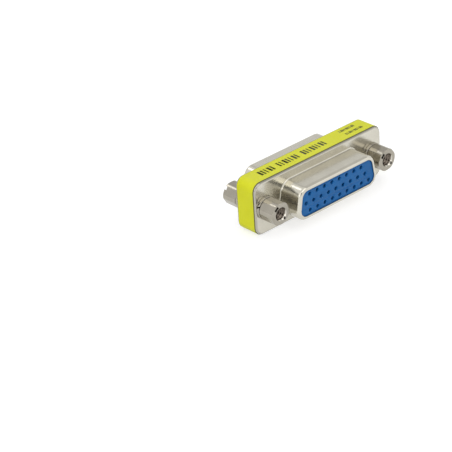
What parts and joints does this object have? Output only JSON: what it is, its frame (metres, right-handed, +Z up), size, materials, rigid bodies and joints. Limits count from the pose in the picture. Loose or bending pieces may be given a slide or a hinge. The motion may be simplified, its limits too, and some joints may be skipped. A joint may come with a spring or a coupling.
{
  "type": "d-sub gender changer",
  "caption": "Female-to-female high-density D-sub gender changer: socket hoods back to back in nickel-plated shells, with hexagonal jack screws and a label wrapped round.",
  "frame": {"origin": "under the middle of the object, on the surface that its long flat side stands on", "axes": "+X along the long side, to the right seen from the front; -Y out of the front hood, whose wide side is down; +Z up"},
  "size_m": [0.0395, 0.0176, 0.0127],
  "materials": {
    "nickel_shell": "bright nickel plating on drawn steel, softly mirror-like",
    "nickel_hardware": "nickel plating on turned metal",
    "blue_moulding": "semi-gloss blue moulded plastic",
    "gold_contact": "gold flash on copper alloy strip",
    "yellow_label": "satin yellow film"
  },
  "bodies": {
    "root": {"front_shell": "nickel_shell", "rear_shell": "nickel_shell", "front_insulator": "blue_moulding", "rear_insulator": "blue_moulding", "label_wrap": "yellow_label", "front_jack_screw_left": "nickel_hardware", "rear_jack_nut_left": "nickel_hardware", "front_lock_washer_left": "nickel_hardware", "rear_lock_washer_left": "nickel_hardware", "front_jack_screw_right": "nickel_hardware", "rear_jack_nut_right": "nickel_hardware", "front_lock_washer_right": "nickel_hardware", "rear_lock_washer_right": "nickel_hardware", "contact_01": "gold_contact", "contact_02": "gold_contact", "contact_03": "gold_contact", "contact_04": "gold_contact", "contact_05": "gold_contact", "contact_06": "gold_contact", "contact_07": "gold_contact", "contact_08": "gold_contact", "contact_09": "gold_contact", "contact_10": "gold_contact", "contact_11": "gold_contact", "contact_12": "gold_contact", "contact_13": "gold_contact", "contact_14": "gold_contact", "contact_15": "gold_contact", "contact_16": "gold_contact", "contact_17": "gold_contact", "contact_18": "gold_contact", "contact_19": "gold_contact", "contact_20": "gold_contact", "contact_21": "gold_contact", "contact_22": "gold_contact", "contact_23": "gold_contact", "contact_24": "gold_contact", "contact_25": "gold_contact", "contact_26": "gold_contact"}
  },
  "joints": []
}
